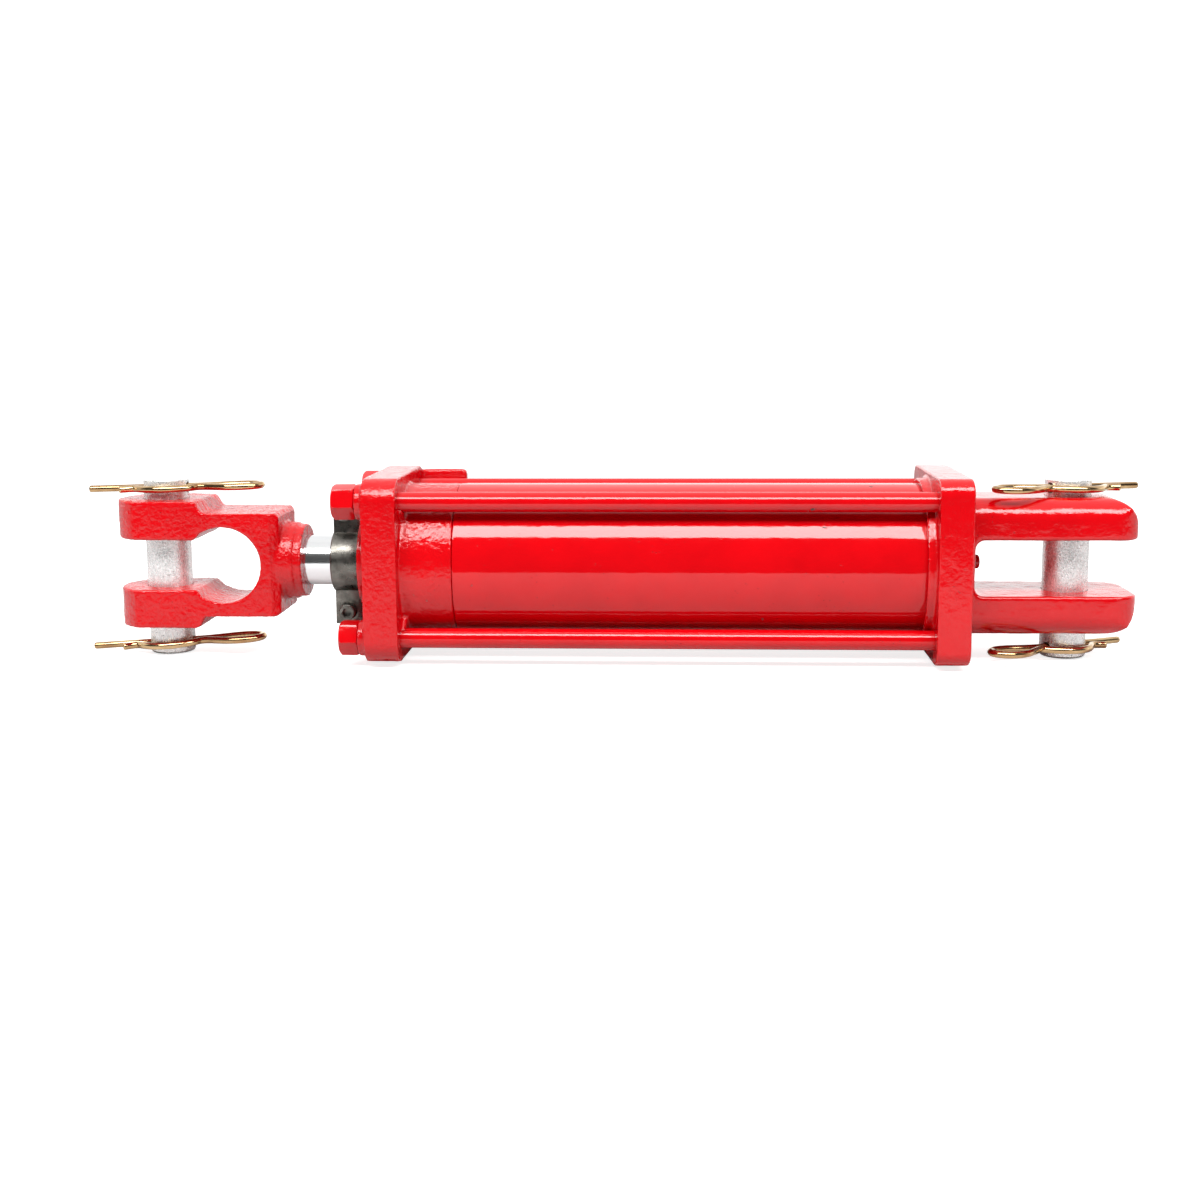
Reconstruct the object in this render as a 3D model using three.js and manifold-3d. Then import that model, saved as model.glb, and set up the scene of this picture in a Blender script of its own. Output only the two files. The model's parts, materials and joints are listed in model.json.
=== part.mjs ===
// Double-acting tie-rod hydraulic cylinder with a clevis at each end.
// Millimetres, +Z up. The cylinder lies along X: rod clevis at -X, base clevis at +X.
// It is fully retracted. The pins stand upright.
import * as THREE from "three";
import { mergeVertices } from "three/addons/utils/BufferGeometryUtils.js";
import Module from "manifold-3d";

// ---------- driving dimensions ----------
// Lengths along X are measured from the point halfway between the two pins.
const PIN_X = 257.175; // half of the 514.35 mm retracted length, pin to pin
const STROKE = 203.2;
const PIN_R = 12.7;
const PIN_LEN = 101.6;
const PIN_DROP = 2.8; // the pins sit this far below centre
const CLIP_Z = 45.3; // cross-hole to the pin's middle
const CLIP_HOLE_R = 3.15;
const WIRE_R = 2.0;

const AXIS_Z = PIN_LEN / 2 + PIN_DROP; // rod axis above the lowest point
const SHIFT_X = 1.063; // puts the middle of the whole length at X = 0

const TUBE_OR = 44.45;
const BORE_R = 38.1;
const TUBE_X0 = -85.8;
const TUBE_X1 = 178.1;
const ROUND = 40; // facets round the barrel

const CAP_HALF = 51.2; // square caps
const HEAD_CORNER = 13.0;
const BASE_CORNER = 9.0;
const HEAD_X0 = -134.5;
const HEAD_X1 = -115.4;
const SKIRT_X1 = -85.9;
const HEAD_PILOT_X1 = -71.7;
const GLAND_X0 = -142.3;
const GLAND_R = 27.5;
const BASE_X0 = 178.4;
const BASE_X1 = 196.9;
const BASE_RING_X0 = 173.4;
const BASE_RING_R = 47.4;
const BASE_PILOT_X0 = 166.6;
const PILOT_R = 37.85;

const TIE = 38.1; // tie rods on a 76.2 mm square
const TIE_R = 5.555;
const TIE_HOLE_R = 5.85;
const TIE_X0 = -150.2;
const TIE_X1 = 193.6;
const TIE_BOSS_R = 10.0;
const TIE_BOSS_X0 = -138.8;
const NUT_X0 = -149.5;
const NUT_X1 = -138.95;
const NUT_AF = 17.5;

const ROD_R = 14.2875;
const ROD_N = 28; // facets round the rod and its seals
const ROD_X0 = -196.4;
const ROD_THREAD_R = 12.45;
const ROD_SHOULDER_X = -177.3;
const PISTON_SEAT_X = 132.0;
const ROD_TAIL_R = 9.5;
const ROD_TAIL_X1 = 186.2;

const PISTON_X0 = 132.1;
const PISTON_X1 = 166.0;
const PISTON_R = 37.9;

const PORT_X = -102; // head port, in the back
const PORT_BOSS_R = 13.4;
const PORT_R = 8.0;
const PAD_Y = 44.6; // flat pad that carries the head port
const BASE_PORT_X = 190.2; // base port, in the back face
const BASE_PORT_R = 7.6;

const ROD_EAR_IN = 14.3;
const ROD_EAR_OUT = 36.2;
const ROD_EAR_STEP_X = -235.0;
const ROD_BODY_Z = 29.5;
const ROD_BODY_X1 = -187.5;
const ROD_HALF_Y = 23.5;
const ROD_END_R = 26.9;
const EYE_X = -219.5; // round opening behind the ears
const EYE_R = 21.7;
const HUB_R = 22.2;
const HUB_STEP_X = -180.5;
const HUB_X1 = -175.5;

const BASE_EAR_IN = 15.55;
const BASE_EAR_OUT = 38.2;
const BASE_HALF_Y = 28.0;
const BASE_EAR_END = 35.4; // pin to the end of the ears
const BASE_EAR_CORNER = 14;
const THROAT_X = 202.0;
const EAR_HOLE_R = 13.05;

const COLLAR_X0 = -159.2;
const COLLAR_X1 = -143.2;
const COLLAR_R = 18.2;
const COLLAR_BORE_R = 14.6;
const COLLAR_EAR_Z = 36.0;
const COLLAR_BOLT_Z = 28.6;

// ---------- colours ----------
const paint = () => new THREE.MeshStandardMaterial({ color: 0xe2040f, roughness: 0.25, metalness: 0 });
const chrome = () => new THREE.MeshStandardMaterial({ color: 0xd9dadb, roughness: 0.12, metalness: 1 });
const steel = () => new THREE.MeshStandardMaterial({ color: 0x8d8f92, roughness: 0.4, metalness: 1 });
const zinc = () => new THREE.MeshStandardMaterial({ color: 0xcfd1cf, roughness: 0.38, metalness: 1 });
const yellowZinc = () => new THREE.MeshStandardMaterial({ color: 0xc49a4a, roughness: 0.3, metalness: 1 });
const blackOxide = () => new THREE.MeshStandardMaterial({ color: 0x2e2f2d, roughness: 0.45, metalness: 0.6 });
const rubber = () => new THREE.MeshStandardMaterial({ color: 0x151515, roughness: 0.7, metalness: 0 });
const polymer = () => new THREE.MeshStandardMaterial({ color: 0x2d6b4e, roughness: 0.5, metalness: 0 });
const iron = () => new THREE.MeshStandardMaterial({ color: 0x5c5e60, roughness: 0.55, metalness: 0.8 });

// ---------- solids ----------
const wasm = await Module();
wasm.setup();

// A closed three.js geometry as a manifold-3d solid, facing out.
function solid(geometry) {
  const g = geometry.index ? geometry.toNonIndexed() : geometry.clone();
  g.deleteAttribute("normal");
  g.deleteAttribute("uv");
  const m = mergeVertices(g, 1e-4);
  const t = new Uint32Array(m.index.array);
  const p = m.attributes.position.array;
  let volume = 0;
  for (let i = 0; i < t.length; i += 3) {
    const [a, b, c] = [t[i] * 3, t[i + 1] * 3, t[i + 2] * 3];
    volume +=
      p[a] * (p[b + 1] * p[c + 2] - p[b + 2] * p[c + 1]) -
      p[a + 1] * (p[b] * p[c + 2] - p[b + 2] * p[c]) +
      p[a + 2] * (p[b] * p[c + 1] - p[b + 1] * p[c]);
  }
  if (volume < 0) for (let i = 0; i < t.length; i += 3) [t[i + 1], t[i + 2]] = [t[i + 2], t[i + 1]];
  const good = [];
  for (let i = 0; i < t.length; i += 3)
    if (t[i] !== t[i + 1] && t[i + 1] !== t[i + 2] && t[i] !== t[i + 2]) good.push(t[i], t[i + 1], t[i + 2]);
  return new wasm.Manifold(new wasm.Mesh({ numProp: 3, vertProperties: p, triVerts: new Uint32Array(good) }));
}

function geometryOf(manifold) {
  const m = manifold.getMesh();
  const p = new Float32Array(m.numVert * 3);
  for (let i = 0; i < m.numVert; i++) for (let k = 0; k < 3; k++) p[i * 3 + k] = m.vertProperties[i * m.numProp + k];
  const g = new THREE.BufferGeometry();
  g.setAttribute("position", new THREE.BufferAttribute(p, 3));
  g.setIndex(new THREE.BufferAttribute(new Uint32Array(m.triVerts), 1));
  return g;
}

// Turned shape round the X axis from a closed profile of [x, r] pairs.
function turned(profile, n) {
  const pts = profile.map(([x, r]) => new THREE.Vector2(Math.max(r, 0), x));
  if (profile[0][1] > 0 || profile.at(-1)[1] > 0) pts.push(pts[0].clone());
  const g = new THREE.LatheGeometry(pts, n);
  g.rotateZ(-Math.PI / 2);
  return solid(g);
}
const bar = (x0, x1, r, n) => turned([[x0, 0], [x0, r], [x1, r], [x1, 0]], n);
const ring = (x0, x1, r0, r1, n) => turned([[x0, r0], [x0, r1], [x1, r1], [x1, r0]], n);
const at = (m, x, y, z) => m.translate([x, y, z]);

// Round bar along Y or Z.
function barY(x, z, y0, y1, r, n) {
  const g = new THREE.CylinderGeometry(r, r, y1 - y0, n);
  g.translate(x, (y0 + y1) / 2, z);
  return solid(g);
}
function barZ(x, y, z0, z1, r, n) {
  const g = new THREE.CylinderGeometry(r, r, z1 - z0, n);
  g.rotateX(Math.PI / 2);
  g.translate(x, y, (z0 + z1) / 2);
  return solid(g);
}
function box(x0, x1, y0, y1, z0, z1) {
  const g = new THREE.BoxGeometry(x1 - x0, y1 - y0, z1 - z0);
  g.translate((x0 + x1) / 2, (y0 + y1) / 2, (z0 + z1) / 2);
  return solid(g);
}
const outline = (points) => new THREE.Shape(points.map(([a, b]) => new THREE.Vector2(a, b)));
// A flat outline drawn in X-Y, raised along Z.
function raiseZ(points, z0, z1) {
  const g = new THREE.ExtrudeGeometry(outline(points), { depth: z1 - z0, bevelEnabled: false });
  g.translate(0, 0, z0);
  return solid(g);
}
// A side outline drawn in X-Z, extruded along Y.
function acrossY(points, y0, y1) {
  const g = new THREE.ExtrudeGeometry(outline(points), { depth: y1 - y0, bevelEnabled: false });
  g.rotateX(Math.PI / 2);
  g.translate(0, y1, 0);
  return solid(g);
}
// An end outline drawn in Y-Z, extruded along X.
function alongX(points, x0, x1) {
  const g = new THREE.ExtrudeGeometry(outline(points), { depth: x1 - x0, bevelEnabled: false });
  g.rotateX(Math.PI / 2);
  g.rotateZ(Math.PI / 2);
  g.translate(x0, 0, 0);
  return solid(g);
}
function roundedRect(ha, hb, r, n = 6) {
  const p = [];
  for (const [sa, sb, a0] of [[1, 1, 0], [-1, 1, 90], [-1, -1, 180], [1, -1, 270]])
    for (let i = 0; i <= n; i++) {
      const a = ((a0 + (90 * i) / n) * Math.PI) / 180;
      p.push([sa * (ha - r) + r * Math.cos(a), sb * (hb - r) + r * Math.sin(a)]);
    }
  return p;
}
const arc = (cx, cy, r, a0, a1, n) =>
  Array.from({ length: n + 1 }, (_, i) => {
    const a = ((a0 + ((a1 - a0) * i) / n) * Math.PI) / 180;
    return [cx + r * Math.cos(a), cy + r * Math.sin(a)];
  });

const top = new THREE.Group();
top.name = "hydraulic_cylinder";
top.position.set(SHIFT_X, 0, AXIS_Z);
function add(name, manifold, material, parent = top) {
  const mesh = new THREE.Mesh(geometryOf(manifold), material);
  mesh.name = name;
  parent.add(mesh);
  return mesh;
}
const CORNERS = [[-1, 1], [1, 1], [1, -1], [-1, -1]]; // y, z signs of the four tie rods

// ---------- barrel ----------
add("barrel_tube", ring(TUBE_X0, TUBE_X1, BORE_R, TUBE_OR, ROUND), paint());

let head = alongX(roundedRect(CAP_HALF, CAP_HALF, HEAD_CORNER), HEAD_X0, HEAD_X1)
  .add(bar(HEAD_X1 - 1, SKIRT_X1, TUBE_OR, ROUND))
  .add(bar(SKIRT_X1 - 1, HEAD_PILOT_X1, PILOT_R, ROUND))
  .add(bar(GLAND_X0, HEAD_X0 + 1, GLAND_R, ROD_N))
  .add(barY(PORT_X, 0, 20, CAP_HALF, PORT_BOSS_R, 32))
  .add(box(HEAD_X1 - 1, PORT_X + PORT_BOSS_R, PAD_Y, CAP_HALF, -30, 48.4));
for (const [y, z] of CORNERS) head = head.add(at(bar(TIE_BOSS_X0, HEAD_X0 + 1, TIE_BOSS_R, 24), 0, y * TIE, z * TIE));
for (const [y, z] of CORNERS) head = head.subtract(at(bar(TIE_BOSS_X0 - 1, HEAD_X1 + 1, TIE_HOLE_R, 20), 0, y * TIE, z * TIE));
head = head
  .subtract(bar(GLAND_X0 - 1, HEAD_PILOT_X1 + 1, 14.8, ROD_N)) // rod bore
  .subtract(bar(GLAND_X0 - 1, -136.6, 19.0, ROD_N)) // wiper seat
  .subtract(bar(-127.0, -119.0, 19.05, ROD_N)) // rod seal groove
  .subtract(bar(-97.0, HEAD_PILOT_X1 + 1, 17.0, ROD_N)) // bearing seat
  .subtract(ring(-81.4, -76.8, 34.6, 45, ROUND)) // O-ring groove
  .subtract(barY(PORT_X, 0, 22.5, CAP_HALF + 1, PORT_R, 32)) // port
  .subtract(at(bar(PORT_X, HEAD_PILOT_X1 + 1, 3.6, 16), 0, 26.2, 0)); // oil way from the port to the bore
add("head_cap", head, paint());

// Side view of the base clevis, with the rounded outer ends of the ears.
const EAR_X1 = PIN_X + BASE_EAR_END;
const END_R = 19;
const clevisSide = [
  [BASE_X1 - 2, -BASE_EAR_OUT],
  ...arc(EAR_X1 - END_R, -BASE_EAR_OUT + END_R, END_R, -90, 0, 7),
  [EAR_X1, -BASE_EAR_IN],
  ...arc(THROAT_X + 5, -BASE_EAR_IN + 5, 5, 270, 180, 4),
  ...arc(THROAT_X + 5, BASE_EAR_IN - 5, 5, 180, 90, 4),
  [EAR_X1, BASE_EAR_IN],
  ...arc(EAR_X1 - END_R, BASE_EAR_OUT - END_R, END_R, 0, 90, 7),
  [BASE_X1 - 2, BASE_EAR_OUT],
];
const clevisPlan = [
  [BASE_X1 - 2, -BASE_HALF_Y],
  ...arc(EAR_X1 - BASE_EAR_CORNER, -BASE_HALF_Y + BASE_EAR_CORNER, BASE_EAR_CORNER, -90, 0, 6),
  ...arc(EAR_X1 - BASE_EAR_CORNER, BASE_HALF_Y - BASE_EAR_CORNER, BASE_EAR_CORNER, 0, 90, 6),
  [BASE_X1 - 2, BASE_HALF_Y],
];
let clevis = acrossY(clevisSide, -32, 32)
  .intersect(raiseZ(clevisPlan, -40, 40))
  .intersect(alongX(roundedRect(BASE_HALF_Y, BASE_EAR_OUT, 12, 6), BASE_X1 - 3, EAR_X1 + 1))
  .subtract(barZ(PIN_X, 0, -40, 40, EAR_HOLE_R, 36));
let base = alongX(roundedRect(CAP_HALF, CAP_HALF, BASE_CORNER), BASE_X0, BASE_X1)
  .add(bar(BASE_RING_X0, BASE_X0 + 1, BASE_RING_R, ROUND))
  .subtract(ring(BASE_RING_X0 - 1, BASE_X0 - 0.2, BORE_R - 0.3, TUBE_OR + 0.12, ROUND))
  .add(bar(BASE_PILOT_X0, BASE_X0 + 1, PILOT_R, ROUND))
  .add(clevis)
  .add(barY(BASE_PORT_X, 0, 20, CAP_HALF, 11.8, 28))
  .subtract(bar(BASE_PILOT_X0 - 1, 187.6, 22.0, 32)) // room for the piston nut
  .subtract(ring(169.0, 173.4, 34.6, 37.97, ROUND)) // O-ring groove
  .subtract(barY(BASE_PORT_X, 0, 15, CAP_HALF + 1, BASE_PORT_R, 28)) // port
  .subtract(bar(186, THROAT_X + 1, 5.2, 16)); // threaded hole of the plug
for (const [y, z] of CORNERS) base = base.subtract(at(bar(BASE_X0 - 8, TIE_X1 + 0.4, TIE_HOLE_R, 20), 0, y * TIE, z * TIE));
add("base_cap", base, paint());

CORNERS.forEach(([y, z], i) => {
  const out = i === 0 ? 2.2 : 0; // the near upper nut sits a little further out
  add("tie_rod_" + (i + 1), at(bar(TIE_X0 - out, TIE_X1, TIE_R, 20), 0, y * TIE, z * TIE), paint());
  // Hexagon nut, its flats turned differently on each rod.
  const nut = bar(NUT_X0 - out, NUT_X1, NUT_AF / Math.sqrt(3), 6)
    .rotate([[12, 21, 38, 5][i], 0, 0])
    .subtract(bar(NUT_X0 - 4, NUT_X1 + 1, TIE_HOLE_R, 20));
  add("tie_rod_nut_" + (i + 1), at(nut, 0, y * TIE, z * TIE), paint());
});

const oring = (x, r, c) => turned(arc(x, r, c, 30, 330, 5), ROUND);
add("head_oring", oring(-79.1, 36.28, 1.62), rubber());
add("base_oring", oring(171.2, 36.28, 1.62), rubber());

add("rod_wiper", turned([[-142.1, 14.62], [-142.1, 16.2], [-140.3, 18.85], [-136.8, 18.85], [-136.8, 15.6], [-139.2, 15.6], [-141.3, 14.62]], ROD_N), rubber());
add("rod_seal", turned([[-126.8, 15.4], [-126.8, 18.9], [-119.2, 18.9], [-119.2, 17.6], [-122.4, 16.7], [-119.2, 15.9], [-119.2, 14.5], [-121.5, 14.5], [-124, 15.2]], ROD_N), polymer());
add("rod_bearing", ring(-96.8, -71.9, 14.45, 16.85, ROD_N), steel());

add("base_plug", bar(189.0, THROAT_X + 0.3, 5.0, 16).add(turned([[THROAT_X + 0.2, 0], [THROAT_X + 0.2, 4.0], [208.2, 4.0], [209.0, 3.0], [209.0, 0]], 16)), steel());

// ---------- piston seals: they slide in the bore, and the piston turns inside them ----------
add("piston_seal_1", turned([[134.3, 32.45], [134.3, 38.02], [136.0, 38.02], [137.2, 37.2], [139.6, 37.2], [139.6, 32.45]], ROUND), polymer());
add("piston_seal_2", turned([[158.5, 32.45], [158.5, 37.2], [160.9, 37.2], [162.1, 38.02], [163.8, 38.02], [163.8, 32.45]], ROUND), polymer());
add("piston_wear_ring", ring(144.2, 154.0, 36.2, 38.02, ROUND), steel());

// ---------- rod ----------
add(
  "piston_rod",
  turned([[ROD_X0, 0], [ROD_X0, ROD_THREAD_R - 1], [ROD_X0 + 1, ROD_THREAD_R], [ROD_SHOULDER_X, ROD_THREAD_R], [ROD_SHOULDER_X, ROD_R], [PISTON_SEAT_X, ROD_R], [PISTON_SEAT_X, ROD_TAIL_R], [ROD_TAIL_X1 - 1, ROD_TAIL_R], [ROD_TAIL_X1, ROD_TAIL_R - 1], [ROD_TAIL_X1, 0]], ROD_N),
  chrome(),
);
let piston = bar(PISTON_X0, PISTON_X1, PISTON_R, ROUND)
  .subtract(ring(134.1, 139.8, 32.0, 45, ROUND))
  .subtract(ring(144.0, 154.2, 35.8, 45, ROUND))
  .subtract(ring(158.3, 164.0, 32.0, 45, ROUND))
  .subtract(bar(PISTON_X0 - 1, PISTON_X1 + 1, 9.65, ROD_N))
  .subtract(bar(147.0, 151.0, 12.4, ROD_N));
add("piston", piston, iron());
add("piston_oring", turned(arc(149, 11.0, 1.3, 30, 330, 5), ROD_N), rubber());
add("piston_nut", bar(166.2, 184.6, 28.6 / Math.sqrt(3), 6).subtract(bar(165, 186, 9.7, ROD_N)), steel());

// Rod clevis: two ears with raised outer faces, a round opening, and the threaded hub.
const rodSide = [
  [-PIN_X - ROD_END_R - 1, -ROD_EAR_OUT],
  [ROD_EAR_STEP_X, -ROD_EAR_OUT],
  [-230.5, -ROD_BODY_Z],
  [ROD_BODY_X1 - 2, -ROD_BODY_Z],
  [ROD_BODY_X1, -ROD_BODY_Z + 2],
  [ROD_BODY_X1, ROD_BODY_Z - 2],
  [ROD_BODY_X1 - 2, ROD_BODY_Z],
  [-230.5, ROD_BODY_Z],
  [ROD_EAR_STEP_X, ROD_EAR_OUT],
  [-PIN_X - ROD_END_R - 1, ROD_EAR_OUT],
];
const rodPlan = [
  ...arc(-PIN_X, 0, ROD_END_R, 180 - 60.9, 180 + 60.9, 12),
  [ROD_BODY_X1 - 5, -ROD_HALF_Y],
  [ROD_BODY_X1 + 1, -ROD_HALF_Y + 5],
  [ROD_BODY_X1 + 1, ROD_HALF_Y - 5],
  [ROD_BODY_X1 - 5, ROD_HALF_Y],
];
const slotSide = [
  [-PIN_X - ROD_END_R - 2, -ROD_EAR_IN],
  [ROD_EAR_STEP_X, -ROD_EAR_IN],
  [ROD_EAR_STEP_X + 2.6, -ROD_EAR_IN - 4.0],
  [EYE_X - 9, -ROD_EAR_IN - 5.2],
  [EYE_X, 0],
  [EYE_X - 9, ROD_EAR_IN + 5.2],
  [ROD_EAR_STEP_X + 2.6, ROD_EAR_IN + 4.0],
  [ROD_EAR_STEP_X, ROD_EAR_IN],
  [-PIN_X - ROD_END_R - 2, ROD_EAR_IN],
];
let rodClevis = acrossY(rodSide, -30, 30)
  .intersect(raiseZ(rodPlan, -40, 40))
  .add(bar(ROD_BODY_X1 - 2, HUB_STEP_X, HUB_R, ROD_N))
  .add(bar(HUB_STEP_X - 1, HUB_X1, HUB_R - 1.2, ROD_N))
  .subtract(acrossY(slotSide, -31, 31))
  .subtract(barY(EYE_X, 0, -31, 31, EYE_R, 40))
  .subtract(barZ(-PIN_X, 0, -40, 40, EAR_HOLE_R, 36))
  .subtract(bar(-205, HUB_X1 + 1, ROD_THREAD_R + 0.2, ROD_N))
  .subtract(bar(ROD_SHOULDER_X - 0.2, HUB_X1 + 1, ROD_R + 0.2, ROD_N));
add("rod_clevis", rodClevis, paint());

// ---------- stop collar, two halves bolted round the rod ----------
const collarGap = 0.35;
const wholeCollar = bar(COLLAR_X0, COLLAR_X1, COLLAR_R, ROD_N)
  .add(box(COLLAR_X0 + 0.6, COLLAR_X1 - 0.6, -7.2, 7.2, -COLLAR_EAR_Z, COLLAR_EAR_Z))
  .subtract(bar(COLLAR_X0 - 1, COLLAR_X1 + 1, COLLAR_BORE_R, ROD_N))
  .subtract(barY((COLLAR_X0 + COLLAR_X1) / 2, COLLAR_BOLT_Z, -20, 20, 3.4, 16))
  .subtract(barY((COLLAR_X0 + COLLAR_X1) / 2, -COLLAR_BOLT_Z, -20, 20, 3.4, 16));
add("collar_half_front", wholeCollar.intersect(box(-170, -140, -30, -collarGap, -40, 40)), blackOxide());
add("collar_half_rear", wholeCollar.intersect(box(-170, -140, collarGap, 30, -40, 40)), blackOxide());
const boltX = (COLLAR_X0 + COLLAR_X1) / 2;
for (const [name, s] of [["upper", 1], ["lower", -1]]) {
  const z = s * COLLAR_BOLT_Z;
  add(
    "collar_screw_" + name,
    barY(boltX, z, -8.5, 14.5, 3.1, 16)
      .add(barY(boltX, z, -13.2, -7.4, 4.75, 20))
      .subtract(barY(boltX, z, -14, -10.2, 2.75, 6)),
    blackOxide(),
  );
  add("collar_nut_" + name, barY(boltX, z, 7.4, 12.6, 6.3, 6).subtract(barY(boltX, z, 6, 14, 3.3, 16)), blackOxide());
}

// ---------- clevis pins and hairpin clips ----------
// Each clip lies in its own frame: u runs along the straight leg to the loop, v to the bent leg.
const clipPath = (slide) =>
  new THREE.CatmullRomCurve3(
    [
      [-47.5, 0], [-38, 0], [-26, 0], [-13, 0], [0, 0], [12, 0], [20, -0.2], [28, -1.8], [38, -4.4], [47, -4.0],
      [53.0, 0.6], [54.0, 5.0], [51.2, 9.6], [44.5, 12.2], [36, 11.4], [28, 8.2], [22, 5.6], [17.5, 5.6],
      [14.6, 9.4], [8.6, 13.7], [0, 15.9], [-8.6, 13.9], [-14.6, 10.0], [-18.8, 6.9], [-22.5, 7.2], [-27, 9.8],
    ].map(([u, v]) => new THREE.Vector3(u + slide, v, 0)),
    false,
    "centripetal",
  );
const wireSection = outline(arc(0, 0, WIRE_R, 0, 300, 5));
function clipGeometry(slide) {
  return new THREE.ExtrudeGeometry(wireSection, { steps: 40, extrudePath: clipPath(slide), bevelEnabled: false });
}
// name, pin x, and for each clip its height from the pin's middle, turn about Z, lean, and how far it is pulled out
function pinWithClips(label, px, clips) {
  const group = new THREE.Group();
  group.position.set(px, 0, -PIN_DROP);
  top.add(group);
  let pin = barZ(0, 0, -PIN_LEN / 2 + 1.2, PIN_LEN / 2 - 1.2, PIN_R, 36)
    .add(barZ(0, 0, -PIN_LEN / 2, PIN_LEN / 2, PIN_R - 0.9, 36));
  for (const c of clips) {
    const g = new THREE.CylinderGeometry(CLIP_HOLE_R, CLIP_HOLE_R, 40, 16);
    g.rotateZ(Math.PI / 2);
    g.rotateZ((c.angle * Math.PI) / 180);
    g.translate(0, 0, c.z);
    pin = pin.subtract(solid(g));
  }
  add(label + "_clevis_pin", pin, zinc(), group);
  for (const c of clips) {
    const g = clipGeometry(c.slide);
    const m = new THREE.Matrix4()
      .makeTranslation(0, 0, c.z)
      .multiply(new THREE.Matrix4().makeRotationZ((c.angle * Math.PI) / 180))
      .multiply(new THREE.Matrix4().makeRotationY((-c.lean * Math.PI) / 180))
      .multiply(new THREE.Matrix4().makeScale(1, c.side, 1));
    g.applyMatrix4(m);
    add(label + "_hairpin_" + c.name, solid(g), yellowZinc(), group);
  }
}
// Rod end: the loops point at the barrel and the bent legs are at the front.
pinWithClips("rod", -PIN_X, [
  { name: "upper", z: CLIP_Z, angle: 0, slide: 2.5, lean: 1.6, side: -1 },
  { name: "lower", z: -CLIP_Z, angle: 0, slide: 0.5, lean: 4.0, side: -1 },
]);
// Base end: the loops point at the barrel and towards the front.
pinWithClips("base", PIN_X, [
  { name: "upper", z: CLIP_Z, angle: 207, slide: -2, lean: 1.4, side: 1 },
  { name: "lower", z: -CLIP_Z, angle: 213, slide: 2, lean: 2.0, side: 1 },
]);

export default top;
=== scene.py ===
# Looks of the hydraulic cylinder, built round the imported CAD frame.
# Shapes are drawn in millimetres from the point halfway between the two pins, on the rod's axis,
# and moved into the frame at the end. That point comes from the CAD nodes' own boxes.
import bpy, bmesh, json, math
import numpy as np
from mathutils import Vector, Matrix, noise


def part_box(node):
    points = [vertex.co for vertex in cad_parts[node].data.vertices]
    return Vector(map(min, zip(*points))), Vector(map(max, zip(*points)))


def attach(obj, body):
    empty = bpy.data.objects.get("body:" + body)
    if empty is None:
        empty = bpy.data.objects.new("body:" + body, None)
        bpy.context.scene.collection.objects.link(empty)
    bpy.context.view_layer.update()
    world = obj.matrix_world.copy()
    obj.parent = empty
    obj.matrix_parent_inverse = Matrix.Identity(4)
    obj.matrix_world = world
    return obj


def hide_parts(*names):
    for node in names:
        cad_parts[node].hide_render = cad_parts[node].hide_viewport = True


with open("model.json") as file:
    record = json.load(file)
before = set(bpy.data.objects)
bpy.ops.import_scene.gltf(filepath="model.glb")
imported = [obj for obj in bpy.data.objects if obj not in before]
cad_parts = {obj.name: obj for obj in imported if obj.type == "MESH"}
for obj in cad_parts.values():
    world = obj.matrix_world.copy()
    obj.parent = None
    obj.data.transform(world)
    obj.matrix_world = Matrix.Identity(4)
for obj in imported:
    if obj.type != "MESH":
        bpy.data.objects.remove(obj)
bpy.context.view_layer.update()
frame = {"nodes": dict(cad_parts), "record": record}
BODY = {n: b for b, ns in frame["record"]["behaviour"]["bodies"].items() for n in ns}


def mid(node):
    lo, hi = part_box(node)
    return (lo + hi) / 2


OX = (mid("rod_clevis_pin").x + mid("base_clevis_pin").x) / 2
OZ = mid("barrel_tube").z
PIN_X = (mid("base_clevis_pin").x - mid("rod_clevis_pin").x) / 2 * 1000
PIN_DROP = (OZ - mid("rod_clevis_pin").z) * 1000
pi = math.pi

# ------------------------------------------------------------------ mesh tools


def obj_of(name, verts, faces):
    me = bpy.data.meshes.new(name)
    me.from_pydata([tuple(v) for v in verts], [], faces)
    bm = bmesh.new()
    bm.from_mesh(me)
    bmesh.ops.recalc_face_normals(bm, faces=bm.faces)
    bm.to_mesh(me)
    bm.free()
    ob = bpy.data.objects.new(name, me)
    bpy.context.scene.collection.objects.link(ob)
    return ob


def drop(ob):
    me = ob.data
    bpy.data.objects.remove(ob)
    if me.users == 0:
        bpy.data.meshes.remove(me)


def applied(ob):
    """Puts the result of the object's modifiers into its mesh."""
    bpy.context.view_layer.update()
    dg = bpy.context.evaluated_depsgraph_get()
    me = bpy.data.meshes.new_from_object(ob.evaluated_get(dg))
    ob.modifiers.clear()
    old = ob.data
    ob.data = me
    bpy.data.meshes.remove(old)
    return ob


def boolean(a, b, op):
    m = a.modifiers.new("b", "BOOLEAN")
    m.operation = op
    m.object = b
    m.solver = "MANIFOLD"
    applied(a)
    if len(a.data.polygons) == 0:
        raise RuntimeError("empty boolean on " + a.name)
    drop(b)
    return a


def union(a, *bs):
    for b in bs:
        boolean(a, b, "UNION")
    return a


def cut(a, *bs):
    for b in bs:
        boolean(a, b, "DIFFERENCE")
    return a


def common(a, b):
    return boolean(a, b, "INTERSECT")


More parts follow.
